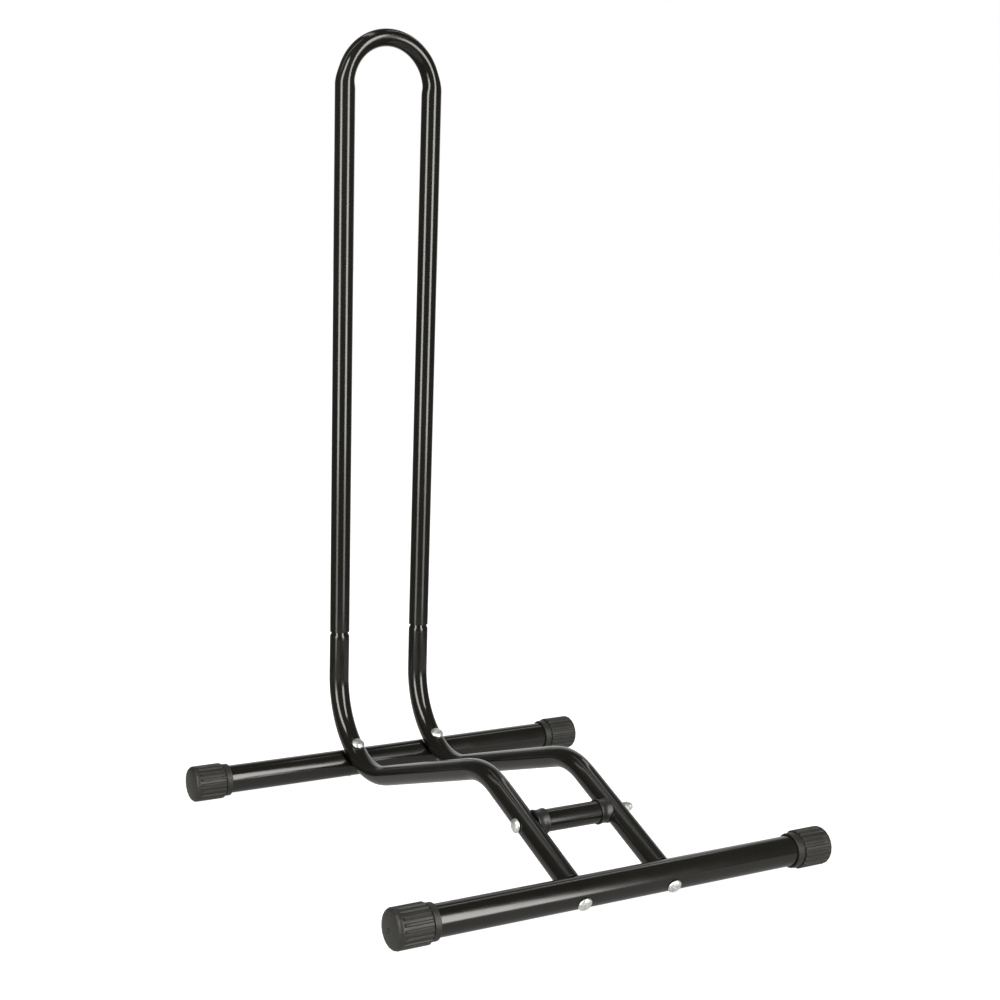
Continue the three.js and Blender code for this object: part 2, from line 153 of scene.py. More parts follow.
# ---- tubes --------------------------------------------------------------------------------------
class Walk:
    """A path in a plane as rows of (u, v, heading, distance walked)."""

    def __init__(self, u, v, heading):
        self.rows = [(u, v, heading, 0.0)]

    @property
    def last(self):
        return self.rows[-1]

    def forward(self, length, step=6.0):
        u, v, heading, s = self.last
        count = max(1, round(length / step))
        for i in range(1, count + 1):
            d = length * i / count
            self.rows.append(
                (u + d * math.cos(heading), v + d * math.sin(heading), heading, s + d)
            )
        return self

    def bend(self, radius, angle, step=math.radians(2.2)):
        u, v, heading, s = self.last
        side = math.copysign(1, angle)
        centre_u = u - side * radius * math.sin(heading)
        centre_v = v + side * radius * math.cos(heading)
        count = max(1, round(abs(angle) / step))
        for i in range(1, count + 1):
            turned_by = angle * i / count
            h = heading + turned_by
            self.rows.append(
                (
                    centre_u + side * radius * math.sin(h),
                    centre_v - side * radius * math.cos(h),
                    h,
                    s + radius * abs(turned_by),
                )
            )
        return self


LIP_STEPS = [math.radians(a) for a in (90, 60, 30)]


def tube(walk, plane, halves, wall, sides):
    """A hollow tube with rounded sawn ends. plane maps (u, v) to the frame; halves(s) gives the
    half sizes across the plane, towards the side vector and away from it."""
    rows = np.array(walk.rows)
    normal = np.array(plane.normal, float)
    total = rows[-1, 3]

    phi = np.linspace(0, 2 * math.pi, sides, endpoint=False)
    cos, sin = np.cos(phi)[:, None], np.sin(phi)[:, None]

    def ring(row, shift, inset):
        """The cross-section at a row, moved along the path and drawn in from the outer skin."""
        u, v, heading, s = row
        ahead = plane.direction(math.cos(heading), math.sin(heading))
        centre = plane.point(u, v) + ahead * shift
        side = np.cross(ahead, normal)
        across, plus, minus = (h - inset for h in halves(s))
        return centre + normal * across * cos + side * np.where(sin > 0, plus, minus) * sin

    def lip(row, inwards, skin_inset, into_wall):
        """Rings round a sawn edge. inwards is 1 at the start and -1 at the end of the tube, and
        into_wall is 1 from the outer skin and -1 from the inner one."""
        return [
            ring(
                row,
                inwards * LIP * (1 - math.sin(a)),
                skin_inset + into_wall * LIP * (1 - math.cos(a)),
            )
            for a in LIP_STEPS
        ]

    start, end = rows[0], rows[-1]
    middle = [row for row in rows if LIP < row[3] < total - LIP]
    outer = lip(start, 1, 0, 1) + [ring(row, 0, 0) for row in middle]
    outer += reversed(lip(end, -1, 0, 1))
    inner = lip(end, -1, wall, -1) + [ring(row, 0, wall) for row in reversed(middle)]
    inner += reversed(lip(start, 1, wall, -1))
    return skin(outer + inner, closed=True)


class Plane:
    """Maps plane coordinates (u, v) to the frame."""

    def __init__(self, origin, u_axis, v_axis, normal):
        self.origin = np.array(origin, float)
        self.u_axis = np.array(u_axis, float)
        self.v_axis = np.array(v_axis, float)
        self.normal = normal

    def direction(self, u, v):
        return u * self.u_axis + v * self.v_axis

    def point(self, u, v):
        return self.origin + self.direction(u, v)


def on_run(distance):
    """A point on the front run, measured from the front tube axis."""
    return np.array([0, FRONT_Y, AXIS_Z]) + distance * ALONG_RUN


HUMP_TURN = RUN_SLOPE + FALL_SLOPE
HEEL_TURN = FALL_SLOPE + math.pi / 2
HUMP_TANGENT = HUMP_RADIUS * math.tan(HUMP_TURN / 2)
HEEL_TANGENT = HEEL_RADIUS * math.tan(HEEL_TURN / 2)
HUMP = on_run(HUMP_DISTANCE)
FALL_LENGTH = (LEG_Y - HUMP[1]) / math.cos(FALL_SLOPE) - HUMP_TANGENT - HEEL_TANGENT


def rear_seat_aim():
    """Distance of the rail axis from the rear tube axis, and the direction from tube to rail."""
    fall_end_z = HUMP[2] - (HUMP_TANGENT + FALL_LENGTH) * math.sin(FALL_SLOPE)
    centre_y = LEG_Y - HEEL_RADIUS
    centre_z = fall_end_z + HEEL_RADIUS * math.cos(FALL_SLOPE)
    out = np.array([0, centre_y - REAR_Y, centre_z - AXIS_Z])
    length = np.linalg.norm(out)
    return length - HEEL_RADIUS, out / length


REAR_DISTANCE, REAR_OUT = rear_seat_aim()


HUMP_FLATTEN = 0.55  # how much the tube is drawn flat on the outside of each bend
HEEL_FLATTEN = 0.35
HUMP_BLEND = 6  # length over which the flattening comes in
HEEL_BLEND = 14


def rail(side):
    start = on_run(RAIL_START)
    walk = Walk(start[1], start[2], RUN_SLOPE)
    walk.forward(HUMP_DISTANCE - RAIL_START - HUMP_TANGENT)
    hump_from = walk.last[3]
    walk.bend(HUMP_RADIUS, -HUMP_TURN)
    hump_to = walk.last[3]
    walk.forward(FALL_LENGTH)
    heel_from = walk.last[3]
    walk.bend(HEEL_RADIUS, HEEL_TURN)
    heel_to = walk.last[3]
    walk.forward(JOINT_Z - NECK_LENGTH - walk.last[1], 3)
    neck_from = walk.last[3]
    walk.forward(NECK_LENGTH, 0.5)
    walk.forward(SPIGOT_LENGTH)

    def halves(s):
        hump = between(s, hump_from, hump_to, HUMP_BLEND)
        heel = between(s, heel_from, heel_to, HEEL_BLEND)
        swage = 1 - (1 - SPIGOT_RADIUS / ROD_RADIUS) * ease((s - neck_from) / NECK_LENGTH)
        across = ROD_RADIUS * swage
        # The side vector points out of the heel bend and into the hump bend.
        plus = (ROD_RADIUS - HEEL_FLATTEN * heel) * swage
        minus = (ROD_RADIUS - HUMP_FLATTEN * hump) * swage
        return across, plus, minus

    plane = Plane((side * RAIL_X, 0, 0), (0, 1, 0), (0, 0, 1), (1, 0, 0))
    return tube(walk, plane, halves, ROD_WALL, ROD_SIDES)


CROWN_TRIM = 0.55  # keeps the round crown inside the faceted CAD one
CROWN_RUN_UP = 24  # straight length with close cross-sections under the crown
LEG_STEP = 12
CROWN_STEP = 1.5  # millimetres before the bend, degrees within it
INNER_EARLY = 5  # the squeeze starts this far before the bend on the inner side
INNER_BLEND = 13
OUTER_BLEND = 20


def hoop():
    walk = Walk(RAIL_X, JOINT_Z, math.pi / 2 - LEG_SPREAD)
    straight = (CROWN_Z - JOINT_Z) / math.cos(LEG_SPREAD)
    walk.forward(straight - CROWN_RUN_UP, LEG_STEP).forward(CROWN_RUN_UP, CROWN_STEP)
    crown_from = walk.last[3]
    walk.bend(CROWN_RADIUS, math.pi + 2 * LEG_SPREAD, math.radians(CROWN_STEP))
    crown_to = walk.last[3]
    walk.forward(CROWN_RUN_UP, CROWN_STEP).forward(straight - CROWN_RUN_UP, LEG_STEP)
    squeeze = ROD_RADIUS * CROWN_FLATTEN

    def halves(s):
        into = min(s - crown_from, crown_to - s)
        inner = ROD_RADIUS - squeeze * ease((into + INNER_EARLY) / INNER_BLEND)
        outer = ROD_RADIUS - (squeeze + CROWN_TRIM) * ease(into / OUTER_BLEND)
        return ROD_RADIUS, inner, outer

    plane = Plane((0, LEG_Y, 0), (1, 0, 0), (0, 0, 1), (0, 1, 0))
    return tube(walk, plane, halves, ROD_WALL, ROD_SIDES)


CAP_LENGTH = 46.7
CAP_BORE_DEPTH = 39.5
TUBE_HALF = HALF_LENGTH - CAP_LENGTH + CAP_BORE_DEPTH - 0.5
PRESS_SOFTNESS = 0.3  # rounding of the edge of a pressed flat
PRESS_FADE = 0.2
SEAT_MARGIN = 4
SEAT_STEP = 0.9
CROSS_STEP = 12
MIDDLE_STEP = 8


def cross_tube(axis_y, seat_normal, seat):
    """A straight tube with two seats pressed flat towards the seat normal."""
    margin = seat["reach"] + SEAT_MARGIN
    walk = Walk(-TUBE_HALF, 0, 0)
    walk.forward(TUBE_HALF - RAIL_X - margin, CROSS_STEP)
    walk.forward(2 * margin, SEAT_STEP)
    walk.forward(2 * (RAIL_X - margin), MIDDLE_STEP)
    walk.forward(2 * margin, SEAT_STEP)
    walk.forward(TUBE_HALF - RAIL_X - margin, CROSS_STEP)
    plane = Plane((0, axis_y, AXIS_Z), (1, 0, 0), (0, 0, 1), (0, 1, 0))
    radius = (CROSS_RADIUS,) * 3
    points, faces = tube(walk, plane, lambda s: radius, CROSS_WALL, CROSS_SIDES)

    offset = np.abs(np.abs(points[:, 0]) - RAIL_X)
    faded = np.clip((offset - seat["flat"]) / (seat["reach"] - seat["flat"]), 0, 1)
    bell = 0.5 + 0.5 * np.cos(math.pi * faded)
    from_axis = points - [0, axis_y, AXIS_Z]
    from_axis[:, 0] = 0
    inner = np.linalg.norm(from_axis, axis=1) < CROSS_RADIUS - CROSS_WALL / 2
    out = from_axis @ seat_normal
    limit = CROSS_RADIUS - bell * (CROSS_RADIUS - seat["distance"]) - inner * CROSS_WALL
    excess = PRESS_SOFTNESS * np.logaddexp(0, (out - limit) / PRESS_SOFTNESS)
    pressed = excess * ease(bell / PRESS_FADE)
    return points - pressed[:, None] * seat_normal, faces


# ---- turned pieces ------------------------------------------------------------------------------
def turned(profile, shape=None, closed=False):
    """A body about +X from (along, radius) pairs. shape(along, radius, theta) gives the radius at
    each angle where the piece isn't round, and may bring angles of its own as shape.theta."""
    even = np.linspace(0, 2 * math.pi, TURNED_SIDES, endpoint=False)
    theta = getattr(shape, "theta", even)
    rows = []
    for along, radius in profile:
        if radius == 0:
            rows.append([(along, 0.0, 0.0)])
            continue
        r = np.full(theta.shape, radius) if shape is None else shape(along, radius, theta)
        x = np.full(theta.shape, along)
        rows.append(np.stack([x, r * np.cos(theta), r * np.sin(theta)], 1))
    return skin(rows, closed)


def arc(centre_along, centre_radius, size, start, end, steps):
    """Profile points on an arc; angles in degrees from the +along direction towards +radius."""
    angles = np.radians(np.linspace(start, end, steps))
    return [
        (centre_along + size * math.cos(a), centre_radius + size * math.sin(a)) for a in angles
    ]


def along_line(start, end, step):
    count = max(1, round(math.dist(start, end) / step))
    return [
        tuple(np.array(start) + (np.array(end) - np.array(start)) * i / count)
        for i in range(count + 1)
    ]


# ---- end caps -----------------------------------------------------------------------------------
CAP_RIBS = 20
RIB_START = 8.5
RIB_END = 39.7
COLLAR_RADIUS = 17.9
CAP_BORE = CROSS_RADIUS + FIT_GAP
VENT_RADIUS = 1.3
RIB_DEPTH = 1.3
RIM_ROUND = 5.0
RIM_FROM = RIB_END - 0.7
DOME_TOP = 45.3
# Where the points of a rib lie, as fractions of half its pitch from its middle.
RIB_SIDE = (0.2, 0.4, 0.48, 0.56, 0.64, 0.72, 0.8)
RIB_FRACTIONS = (-1, *(-f for f in reversed(RIB_SIDE)), 0, *RIB_SIDE)
GROOVE_FROM = 0.44
GROOVE_BLEND = 0.3
COLLAR_ROUND = 0.8
COLLAR_TO = 6.5
EDGE_ROUND = 0.5
RIB_ROUND = 0.6
VENT_FLARE = 1.2


class CapShape:
    """Flats and grooves round the barrel of a cap."""

    def __init__(self):
        half = math.pi / CAP_RIBS
        self.fraction = np.tile(RIB_FRACTIONS, CAP_RIBS).astype(float)
        centres = np.repeat(np.arange(CAP_RIBS) * 2 * half, len(RIB_FRACTIONS))
        self.theta = centres + self.fraction * half
        self.half = half

    def __call__(self, along, radius, theta):
        ribbed = ease((radius - COLLAR_RADIUS) / 0.9) if along < RIB_END + 3 else 0.0
        # The flats run on over the rim and die out towards the middle of the dome.
        domed = ease((radius - 9) / 8) if along > RIB_END else ribbed
        flat = 1 / np.cos(self.fraction * self.half)
        facet = 1 + domed * 0.9 * (flat - 1)
        groove = ease((np.abs(self.fraction) - GROOVE_FROM) / GROOVE_BLEND)
        depth = RIB_DEPTH * groove * ribbed * ease((RIM_FROM - along) / 1.6)
        return radius * facet - depth


def cap_dome(rim):
    """A shallow dome from the rim to the flare of the vent in its middle."""
    steps = 12
    points = []
    for i in range(1, steps + 1):
        t = i / steps
        bulge = math.sin(t * math.pi / 2) ** 0.8
        along = rim[0] + (DOME_TOP - rim[0]) * bulge
        points.append((along, rim[1] + (VENT_RADIUS + VENT_FLARE - rim[1]) * t))
    return points


def cap_profile():
    """Section of a cap: its mouth at 0, then collar, groove, ribs, rim, dome, vent and bore."""
    mouth = CAP_BORE + EDGE_ROUND
    collar = COLLAR_RADIUS - COLLAR_ROUND
    profile = [(EDGE_ROUND, CAP_BORE)]
    profile += arc(EDGE_ROUND, mouth, EDGE_ROUND, 270, 180, 4)[1:]
    profile += along_line((0, mouth + 0.3), (0, collar), 0.6)
    profile += arc(COLLAR_ROUND, collar, COLLAR_ROUND, 180, 90, 6)[1:]
    profile += along_line((1.2, COLLAR_RADIUS), (COLLAR_TO - 0.1, COLLAR_RADIUS), 1.2)
    profile += arc(COLLAR_TO, COLLAR_RADIUS - EDGE_ROUND, EDGE_ROUND, 80, 10, 4)
    profile += arc(COLLAR_TO + 1.2, COLLAR_RADIUS - 0.45, EDGE_ROUND, 200, 300, 4)
    profile += [(RIB_START - 0.15, COLLAR_RADIUS - 0.85)]
    profile += [(RIB_START, COLLAR_RADIUS + rise) for rise in (-0.6, 0.2, 0.9)]
    profile += arc(RIB_START + RIB_ROUND, CAP_RADIUS - RIB_ROUND, RIB_ROUND, 180, 90, 5)
    profile += along_line((RIB_START + 1.2, CAP_RADIUS), (RIB_END - 2, CAP_RADIUS), 3.5)
    profile += along_line((RIB_END - 1.6, CAP_RADIUS), (RIM_FROM, CAP_RADIUS), 0.4)
    profile += arc(RIM_FROM, CAP_RADIUS - RIM_ROUND, RIM_ROUND, 90, 30, 10)[1:]
    profile += cap_dome(profile[-1])
    profile += [(DOME_TOP - 0.25, VENT_RADIUS + 0.8), (DOME_TOP - 1.6, VENT_RADIUS)]
    profile += [(CAP_BORE_DEPTH + 3, VENT_RADIUS), (CAP_BORE_DEPTH, VENT_RADIUS)]
    profile += along_line((CAP_BORE_DEPTH, 4), (CAP_BORE_DEPTH, CAP_BORE - 0.6), 3)
    profile += along_line((CAP_BORE_DEPTH - 0.6, CAP_BORE), (6, CAP_BORE), 8)
    profile += [(3, CAP_BORE)]
    return profile


def cap(side, axis_y):
    points, faces = turned(cap_profile(), shape=CapShape(), closed=True)
    points = points + [HALF_LENGTH - CAP_LENGTH, 0, 0]
    if side < 0:
        points = points * [-1, -1, 1]
    return points + [0, axis_y, AXIS_Z], faces


# ---- spacer -------------------------------------------------------------------------------------
SADDLE_FLOOR = 1.6
SPACER_HALF = RAIL_X - ROD_RADIUS - FIT_GAP - SADDLE_FLOOR - FIT_GAP
SADDLE_INNER = RAIL_X - ROD_RADIUS - 10
SADDLE_WING = RAIL_X - 8
SADDLE_ROUND = 0.6
SADDLE_WAIST = 0.9
SLEEVE_ROUND = 0.4
SPACER_AT = on_run(SPACER_DISTANCE)


def spacer_tube():
    walk = Walk(-SPACER_HALF, 0, 0).forward(2 * SPACER_HALF, 3)
    plane = Plane(SPACER_AT, (1, 0, 0), (0, 0, 1), (0, 1, 0))
    radius = (SPACER_RADIUS,) * 3
    return tube(walk, plane, lambda s: radius, ROD_WALL, ROD_SIDES)


def saddle(side):
    """A collar on the spacer tube whose outer end wraps on the rail."""
    sides = 96
    phi = np.linspace(0, 2 * math.pi, sides, endpoint=False)
    run = ALONG_RUN
    square = np.cross([1, 0, 0], run)

    def rail_face(radius):
        """How far a point at this radius may reach before the rail."""
        height = np.abs(radius * np.sin(phi))
        clear = (ROD_RADIUS + FIT_GAP) ** 2 - height**2
        return np.minimum(SADDLE_WING, RAIL_X - np.sqrt(np.maximum(clear, 0)))

    def ring(along, radius):
        x = np.broadcast_to(along, phi.shape)
        flat = radius * (np.cos(phi)[:, None] * run + np.sin(phi)[:, None] * square)
        return flat + x[:, None] * np.array([1.0, 0, 0])

    sleeve = SPACER_RADIUS + FIT_GAP
    floor = SPACER_HALF + FIT_GAP
    rows = [ring(SADDLE_INNER + SLEEVE_ROUND, sleeve)]
    rows.append(ring(SADDLE_INNER, sleeve + SLEEVE_ROUND))
    lip = arc(SADDLE_INNER + SADDLE_ROUND, SADDLE_RADIUS - SADDLE_ROUND, SADDLE_ROUND, 180, 90, 5)
    rows.append(ring(SADDLE_INNER, SADDLE_RADIUS - SADDLE_ROUND))
    rows += [ring(along, radius) for along, radius in lip[1:]]
    face = rail_face(SADDLE_RADIUS)
    # A shallow waist between the rolled lip and the rail.
    for t in np.linspace(0, 1, 12):
        start = SADDLE_INNER + 2 * SADDLE_ROUND
        along = start + (face - 0.5 - start) * t
        waist = SADDLE_WAIST * math.sin(math.pi * t) ** 1.5
        rows.append(ring(along, SADDLE_RADIUS - waist))
    rows.append(ring(face - 0.15, SADDLE_RADIUS - 0.15))
    for r in np.linspace(SADDLE_RADIUS - 0.5, BOLT_HOLE, 10):
        rows.append(ring(rail_face(r), r))
    for r in (BOLT_HOLE, *np.linspace(BOLT_HOLE + 1.5, sleeve, 5)):
        rows.append(ring(floor, r))
    rows.append(ring(SADDLE_INNER + 4, sleeve))
    points, faces = skin(rows, closed=True)
    if side < 0:
        points = points * [-1, 1, 1]
        faces = [f[::-1] for f in faces]
    return points + SPACER_AT, faces


# ---- fasteners ----------------------------------------------------------------------------------
HEAD_DISTANCE = CROSS_RADIUS + FIT_GAP
HEAD_RADIUS = 7.4
HEAD_HEIGHT = 3.8
NUT_LENGTH = 11.5
NUT_BORE = 8.5
THIN_NUT_LENGTH = 3.2
INSERT_FROM = 14.5
INSERT_TO = 29.0
THREAD_PITCH = 1.0
THREAD_DEPTH = 0.32
THREADED = 18.0  # length of the thread from the tip
SQUARE_LENGTH = 1.75  # square neck under a mushroom head
NUT_HALF_FLATS = 5.0
NUT_CORNER = 6.0  # outside the corners of the hexagon
DOME_FROM = 6.8
DOME_RADIUS = 4.65
DOME_STEPS = 15
HEAD_STEPS = 14


def carriage_bolt(shank):
    """A mushroom head below 0, a square neck and a threaded shank towards +X."""
    head = [(-HEAD_HEIGHT, 0)]
    for i in range(1, HEAD_STEPS + 1):
        t = i / HEAD_STEPS * math.pi / 2
        head.append((-0.5 - (HEAD_HEIGHT - 0.5) * math.cos(t), HEAD_RADIUS * math.sin(t) ** 0.92))
    head += arc(-0.35, HEAD_RADIUS - 0.12, 0.12, 60, -60, 3)
    corner = NECK_HALF * 1.36
    head += [(0, HEAD_RADIUS - 0.5), (0, 5), (0.01, corner)]
    neck = [(0.5, corner), (1.4, corner), (1.7, NECK_HALF * 1.3)]
    thread_from = shank - THREADED
    plain = along_line((2.1, BOLT_RADIUS), (thread_from, BOLT_RADIUS), 4)
    thread = along_line((thread_from, BOLT_RADIUS), (shank - 0.7, BOLT_RADIUS), 0.125)[1:]
    tip = [(shank - 0.5, BOLT_RADIUS - 0.3), (shank, BOLT_RADIUS - 0.8), (shank, 0)]

    def shape(along, radius, theta):
        if 0.005 < along <= SQUARE_LENGTH:
            square = NECK_HALF / np.maximum(np.abs(np.cos(theta)), np.abs(np.sin(theta)))
            return np.minimum(square, radius)
        if along < thread_from or along > shank - 0.69:
            return np.full(theta.shape, radius)
        turn = (along / THREAD_PITCH + theta / (2 * math.pi)) % 1
        run_in = ease((along - thread_from) / 1.5)
        return radius - THREAD_DEPTH * run_in * np.abs(2 * turn - 1)

    return turned(head + neck + plain + thread + tip, shape=shape)


def hexagon(theta):
    """The radius of the nuts' hexagon at each angle."""
    return NUT_HALF_FLATS / np.cos((theta + math.pi / 6) % (math.pi / 3) - math.pi / 6)


def acorn_nut():
    """A domed cap nut about +X: its seat at 0, its dome towards +X."""
    profile = [(0, BOLT_HOLE + 0.5), (0, 4.2), (0, 5.15), (0.35, 5.5), (0.75, NUT_CORNER)]
    profile += along_line((1.2, NUT_CORNER), (4.3, NUT_CORNER), 0.8)
    profile += [(4.7, 5.95), (5.1, 5.5), (5.45, 4.95), (5.5, 4.85), (5.5, 4.72)]
    profile += [(5.7, 4.66), (6.2, DOME_RADIUS), (DOME_FROM, DOME_RADIUS)]
    for i in range(1, DOME_STEPS):
        t = i / DOME_STEPS * math.pi / 2
        along = DOME_FROM + (NUT_LENGTH - DOME_FROM) * math.sin(t)
        profile.append((along, DOME_RADIUS * math.cos(t)))
    profile.append((NUT_LENGTH, 0))

    def shape(along, radius, theta):
        if along > 5.6 or radius < NUT_HALF_FLATS:
            return np.full(theta.shape, radius)
        return np.minimum(hexagon(theta), radius)

    outer, outer_faces = turned(profile, shape=shape)
    bore = [(0, BOLT_HOLE + 0.5), (0.5, BOLT_HOLE)]
    bore += [(NUT_BORE, radius) for radius in (BOLT_HOLE, 2, 0)]
    inner, inner_faces = turned(bore)
    # The two skins share the ring at the mouth of the bore.
    shift = len(outer) - TURNED_SIDES
    faces = outer_faces + [
        tuple(i if i < TURNED_SIDES else i + shift for i in reversed(f)) for f in inner_faces
    ]
    return np.concatenate([outer, inner[TURNED_SIDES:]]), faces


def thin_nut():
    """A thin hexagon nut about +X: its seat at 0."""
    seat = [(0.4, BOLT_HOLE), (0, BOLT_HOLE + 0.4), (0, 4.4), (0, 5.1), (0.2, 5.5), (0.4, NUT_CORNER)]
    top = [(THIN_NUT_LENGTH - along, radius) for along, radius in reversed(seat)]

    def shape(along, radius, theta):
        return np.minimum(hexagon(theta), radius)

    return turned(seat + top, shape=shape, closed=True)


def rail_end_insert():
    radius = ROD_RADIUS - ROD_WALL - 2 * FIT_GAP
    profile = [(INSERT_FROM, BOLT_HOLE + 0.4), (INSERT_FROM, radius - 0.5)]
    profile += along_line((INSERT_FROM + 0.5, radius), (INSERT_TO - 0.5, radius), 2)
    profile += [(INSERT_TO, radius - 0.5), (INSERT_TO, BOLT_HOLE + 0.4)]
    profile += [(INSERT_TO - 0.4, BOLT_HOLE), (INSERT_FROM + 0.4, BOLT_HOLE)]
    return turned(profile, closed=True)


# ---- finishes -----------------------------------------------------------------------------------
class Finish:
    """A Principled material built up from procedural fields in object space."""

    def __init__(self, name, **values):
        self.material = bpy.data.materials.new(name)
        self.material.use_nodes = True
        tree = self.material.node_tree
        self.nodes, self.links = tree.nodes, tree.links
        self.shader = next(n for n in self.nodes if n.type == "BSDF_PRINCIPLED")
        for socket, value in values.items():
            self.shader.inputs[socket.replace("_", " ")].default_value = value
        self.place = self.nodes.new("ShaderNodeTexCoord").outputs["Object"]
        self.bumped = None

    def noise(self, per_metre, detail=3.0, roughness=0.5, stretch=None):
        node = self.nodes.new("ShaderNodeTexNoise")
        node.inputs["Scale"].default_value = per_metre
        node.inputs["Detail"].default_value = detail
        node.inputs["Roughness"].default_value = roughness
        self.links.new(self.stretched(stretch), node.inputs["Vector"])
        return node.outputs["Fac"]

    def stretched(self, stretch):
        if stretch is None:
            return self.place
        node = self.nodes.new("ShaderNodeMapping")
        node.inputs["Scale"].default_value = stretch
        self.links.new(self.place, node.inputs["Vector"])
        return node.outputs["Vector"]

    def specks(self, per_metre, size):
        """1 inside small round specks, 0 elsewhere."""
        node = self.nodes.new("ShaderNodeTexVoronoi")
        node.inputs["Scale"].default_value = per_metre
        self.links.new(self.place, node.inputs["Vector"])
        return self.ramp(node.outputs["Distance"], [(0, 1), (size, 0)])

    def ramp(self, field, stops):
        """A field through grey or colour stops."""
        node = self.nodes.new("ShaderNodeValToRGB")
        elements = node.color_ramp.elements
        while len(elements) < len(stops):
            elements.new(0.5)
        for element, (at, value) in zip(elements, stops):
            element.position = at
            colour = (value,) * 3 if np.isscalar(value) else value
            element.color = (*colour, 1)
        self.links.new(field, node.inputs["Fac"])
        return node.outputs["Color"]

    def mix(self, field, a, b):
        """Colour a where the field is 0 and b where it is 1."""
        node = self.nodes.new("ShaderNodeMix")
        node.data_type = "RGBA"
        self.links.new(field, node.inputs["Factor"])
        for socket, value in zip((s for s in node.inputs if s.type == "RGBA"), (a, b)):
            if isinstance(value, tuple):
                socket.default_value = (*value, 1)
            else:
                self.links.new(value, socket)
        return next(s for s in node.outputs if s.type == "RGBA")

    def drive(self, socket, field):
        self.links.new(field, self.shader.inputs[socket])

    def bump(self, height, distance, strength=1.0):
        """Height field in metres of relief, on top of any earlier one."""
        node = self.nodes.new("ShaderNodeBump")
        node.inputs["Distance"].default_value = distance
        node.inputs["Strength"].default_value = strength
        self.links.new(height, node.inputs["Height"])
        if self.bumped is not None:
            self.links.new(self.bumped, node.inputs["Normal"])
        self.bumped = node.outputs["Normal"]
        self.links.new(self.bumped, self.shader.inputs["Normal"])


def paint_finish():
    """Glossy black stove enamel with a faint orange peel and a little dust."""
    f = Finish("gloss_black_enamel", Metallic=0.0, IOR=1.5, Specular_IOR_Level=0.5)
    darker, lighter = (0.0046, 0.0044, 0.0034), (0.0066, 0.0063, 0.0050)
    tone = f.ramp(f.noise(9, 2), [(0.35, darker), (0.65, lighter)])
    dust = f.specks(260, 0.035)
    f.drive("Base Color", f.mix(dust, tone, (0.03, 0.03, 0.027)))
    f.drive("Roughness", f.ramp(f.noise(45, 4, 0.6), [(0.3, 0.13), (0.7, 0.17)]))
    f.bump(f.noise(140, 1, 0.4), 0.00001, 0.12)
    return f.material


def rubber_finish():
    """Matt black moulded rubber with a fine grain."""
    f = Finish("moulded_rubber", Metallic=0.0, IOR=1.5, Specular_IOR_Level=0.42)
    darker, lighter = (0.0105, 0.0103, 0.0082), (0.0150, 0.0147, 0.0120)
    tone = f.ramp(f.noise(60, 4, 0.6), [(0.3, darker), (0.7, lighter)])
    scuff = f.ramp(f.noise(240, 5, 0.7, (0.4, 1, 1)), [(0.62, 0), (0.8, 1)])
    f.drive("Base Color", f.mix(scuff, tone, (0.030, 0.0295, 0.0255)))
    f.drive("Roughness", f.ramp(f.noise(180, 4, 0.6), [(0.3, 0.42), (0.7, 0.54)]))
    f.bump(f.noise(1600, 3, 0.6), 0.00005, 0.5)
    return f.material


def plastic_finish():
    """Semi-gloss black moulded plastic."""
    f = Finish("moulded_plastic", Metallic=0.0, IOR=1.5, Specular_IOR_Level=0.5)
    darker, lighter = (0.0075, 0.0075, 0.0065), (0.011, 0.011, 0.0098)
    f.drive("Base Color", f.ramp(f.noise(80, 3), [(0.3, darker), (0.7, lighter)]))
    f.drive("Roughness", f.ramp(f.noise(220, 4, 0.6), [(0.3, 0.34), (0.7, 0.46)]))
    f.bump(f.noise(1300, 3, 0.6), 0.00003, 0.5)
    return f.material


def zinc_finish():
    """Bright zinc plate with faint blotches and pressing marks."""
    f = Finish("bright_zinc", Metallic=1.0)
    darker, lighter = (0.60, 0.61, 0.59), (0.96, 0.965, 0.94)
    f.drive("Base Color", f.ramp(f.noise(420, 3, 0.6), [(0.36, darker), (0.56, lighter)]))
    f.drive("Roughness", f.ramp(f.noise(900, 4, 0.6), [(0.3, 0.34), (0.7, 0.5)]))
    f.bump(f.noise(520, 3, 0.55), 0.00035, 0.9)
    return f.material


PAINT = {"material": paint_finish(), "slot": "frame_paint"}
RUBBER = {"material": rubber_finish(), "slot": "cap_rubber"}
PLASTIC = {"material": plastic_finish(), "slot": "saddle_plastic"}
ZINC = {"material": zinc_finish(), "slot": "zinc_hardware"}

# ---- the stand ----------------------------------------------------------------------------------
piece("upper_hoop", *hoop(), PAINT, body="hoop")
piece("front_cross_tube", *cross_tube(FRONT_Y, ALONG_RUN, FRONT_SEAT), PAINT)
piece("rear_cross_tube", *cross_tube(REAR_Y, REAR_OUT, REAR_SEAT), PAINT)
piece("spacer_tube", *spacer_tube(), PAINT)


def aimed(made, x, axis_y, direction):
    points, faces = made
    return turn_to(points, direction) + [x, axis_y, AXIS_Z], faces


def shifted(made, along):
    points, faces = made
    return points + [along, 0, 0], faces


